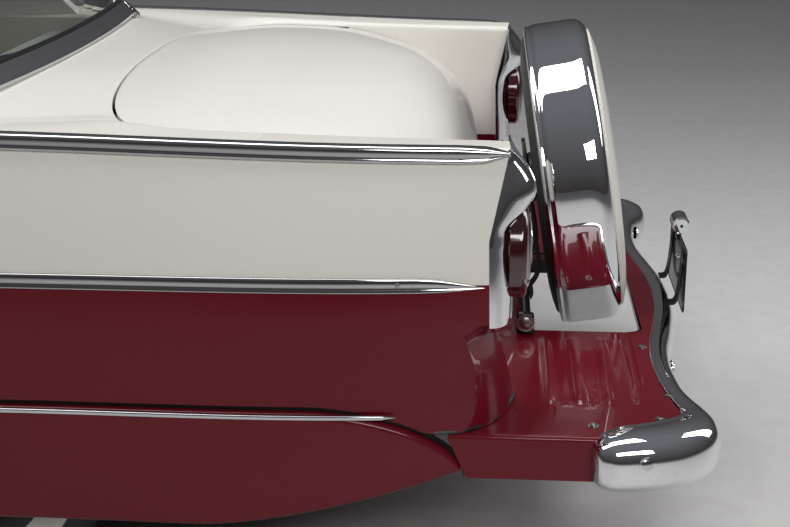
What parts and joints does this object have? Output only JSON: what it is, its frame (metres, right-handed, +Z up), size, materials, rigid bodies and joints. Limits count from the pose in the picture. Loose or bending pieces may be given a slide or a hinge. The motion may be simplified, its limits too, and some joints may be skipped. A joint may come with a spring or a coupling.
{
  "type": "1950s hardtop convertible car",
  "caption": "Two-door full-size car with a pillarless steel top, fender skirts, chrome bumpers and a covered spare wheel hinged on its rear bumper apron.",
  "frame": {"origin": "on the floor under the middle of the car's box", "axes": "+X forwards, +Y to the car's left, +Z up"},
  "size_m": [5.2773, 1.8912, 1.503],
  "materials": {
    "paint_red": "dark crimson gloss paint",
    "paint_white": "warm ivory gloss paint",
    "chrome": "polished chrome plate",
    "bright_steel": "polished stainless trim",
    "lens_red": "moulded red lens",
    "clear_glass": "clear fluted lamp glass",
    "glass": "clear window glass, faint green tint",
    "floor_black": "black floor paint with carpet above",
    "frame_black": "satin black chassis paint",
    "engine_iron": "painted cast iron",
    "radiator_black": "black painted brass core",
    "exhaust_steel": "dull steel pipe",
    "tank_steel": "plated sheet steel",
    "forged_steel": "forged steel",
    "tyre": "black tyre rubber",
    "wheel_paint": "painted steel wheel with bright cap",
    "upholstery": "two-tone pleated vinyl and cloth",
    "dash_paint": "gloss painted dash",
    "wheel_rim_plastic": "ivory moulded rim",
    "shelf_cloth": "pale trimmed board"
  },
  "bodies": {
    "root": {"quarter_panels": "paint_red", "fender_skirts": "paint_red", "lamp_bezels": "chrome", "tail_lamp_lenses": "lens_red", "front_fenders": "paint_red", "headlamp_lenses": "clear_glass", "rocker_panels": "paint_red", "rear_deck": "paint_white", "tail_panel": "paint_red", "roof": "paint_white", "glass_frames": "bright_steel", "fixed_glass": "glass", "front_panel": "paint_red", "grille": "bright_steel", "cowl": "paint_white", "floor_pan": "floor_black", "chassis_frame": "frame_black", "engine_block": "engine_iron", "radiator": "radiator_black", "exhaust": "exhaust_steel", "fuel_tank": "tank_steel", "rear_axle": "frame_black", "front_suspension": "frame_black", "splash_apron": "paint_red", "rear_bumper": "chrome", "bumper_brackets": "frame_black", "front_bumper": "chrome", "seats": "upholstery", "dashboard": "dash_paint", "steering_column": "dash_paint", "parcel_shelf": "shelf_cloth", "body_trim": "bright_steel"},
    "wheel_front_left": {"tyre_front_left": "tyre", "wheel_front_left": "wheel_paint"},
    "wheel_front_right": {"tyre_front_right": "tyre", "wheel_front_right": "wheel_paint"},
    "wheel_rear_left": {"tyre_rear_left": "tyre", "wheel_rear_left": "wheel_paint"},
    "wheel_rear_right": {"tyre_rear_right": "tyre", "wheel_rear_right": "wheel_paint"},
    "knuckle_left": {"knuckle_left": "forged_steel"},
    "knuckle_right": {"knuckle_right": "forged_steel"},
    "steering_wheel": {"steering_wheel": "wheel_rim_plastic"},
    "door_left": {"door_left": "paint_red"},
    "door_right": {"door_right": "paint_red"},
    "hood": {"hood": "paint_white"},
    "trunk_lid": {"trunk_lid": "paint_white"},
    "spare": {"spare_tyre": "tyre", "spare_cover": "bright_steel", "spare_carrier": "frame_black"}
  },
  "joints": [
    {"name": "steer_left", "type": "hinge", "parent": "root", "child": "knuckle_left", "pos_m": [1.851, 0.618, 0.354], "axis": [0, 0, 1], "range_deg": [-30, 30]},
    {"name": "steer_right", "type": "hinge", "parent": "root", "child": "knuckle_right", "pos_m": [1.851, -0.618, 0.354], "axis": [0, 0, 1], "range_deg": [-30, 30]},
    {"name": "steering_wheel_turn", "type": "hinge", "parent": "root", "child": "steering_wheel", "pos_m": [0.5, 0.36, 0.87], "axis": [-0.9063, 0, 0.4226], "range_deg": [-480, 480]},
    {"name": "spin_front_left", "type": "hinge", "parent": "knuckle_left", "child": "wheel_front_left", "pos_m": [1.851, 0.7365, 0.354], "axis": [0, 1, 0], "continuous": true},
    {"name": "spin_front_right", "type": "hinge", "parent": "knuckle_right", "child": "wheel_front_right", "pos_m": [1.851, -0.7365, 0.354], "axis": [0, 1, 0], "continuous": true},
    {"name": "spin_rear_left", "type": "hinge", "parent": "root", "child": "wheel_rear_left", "pos_m": [-1.07, 0.7365, 0.354], "axis": [0, 1, 0], "continuous": true},
    {"name": "spin_rear_right", "type": "hinge", "parent": "root", "child": "wheel_rear_right", "pos_m": [-1.07, -0.7365, 0.354], "axis": [0, 1, 0], "continuous": true},
    {"name": "door_left_swing", "type": "hinge", "parent": "root", "child": "door_left", "pos_m": [0.9745, 0.938, 0.6], "axis": [0, 0, -1], "range_deg": [0, 65]},
    {"name": "door_right_swing", "type": "hinge", "parent": "root", "child": "door_right", "pos_m": [0.9745, -0.938, 0.6], "axis": [0, 0, 1], "range_deg": [0, 65]},
    {"name": "hood_lift", "type": "hinge", "parent": "root", "child": "hood", "pos_m": [1.165, 0, 1.046], "axis": [0, -1, 0], "range_deg": [0, 50]},
    {"name": "trunk_lid_lift", "type": "hinge", "parent": "root", "child": "trunk_lid", "pos_m": [-1.358, 0, 1.024], "axis": [0, 1, 0], "range_deg": [0, 55]},
    {"name": "spare_tilt", "type": "hinge", "parent": "root", "child": "spare", "pos_m": [-2.246, 0, 0.478], "axis": [0, -1, 0], "range_deg": [0, 25]}
  ],
  "couplings": [
    {"joint": "steer_right", "follows": "steer_left", "ratio": 1},
    {"joint": "steering_wheel_turn", "follows": "steer_left", "ratio": 16}
  ]
}
